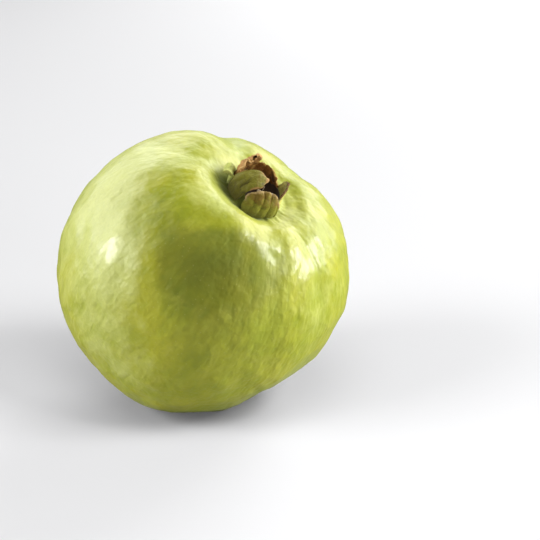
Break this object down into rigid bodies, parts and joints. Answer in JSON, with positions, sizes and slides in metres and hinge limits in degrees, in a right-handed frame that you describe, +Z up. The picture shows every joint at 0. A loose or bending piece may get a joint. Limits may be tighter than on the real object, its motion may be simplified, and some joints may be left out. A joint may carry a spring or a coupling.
{
  "type": "guava",
  "caption": "Whole round ribbed green guava fruit, lying at a slant on a small flat spot, with a dried flower crown and a short stalk stub.",
  "frame": {"origin": "middle of the fruit's footprint, on the surface that it rests on", "axes": "+Z up; the crown leans 36 degrees from upright, towards +X and -Y"},
  "size_m": [0.091, 0.091, 0.0862],
  "materials": {
    "green_skin": "waxy, softly glossy yellow-green fruit skin with fine pebbling, paler ribs and darker green near the crown",
    "green_sepal": "half-dried olive-green sepal with tan and brown edges, wrinkled, low gloss",
    "dry_sepal": "dried, crumpled brown-orange sepal with dark tips, matt and papery",
    "dry_style": "withered flower style and stamens, dry and matt, with a paler tip",
    "dry_stalk": "dry brown fruit stalk with fine lengthwise cracks and a paler broken end"
  },
  "bodies": {
    "root": {"fruit": "green_skin", "sepal_right": "dry_sepal", "sepal_far": "dry_sepal", "sepal_crumpled": "dry_sepal", "sepal_folded": "green_sepal", "sepal_front": "green_sepal", "sepal_nub": "green_sepal", "style": "dry_style", "stem_stub": "dry_stalk"}
  },
  "joints": []
}
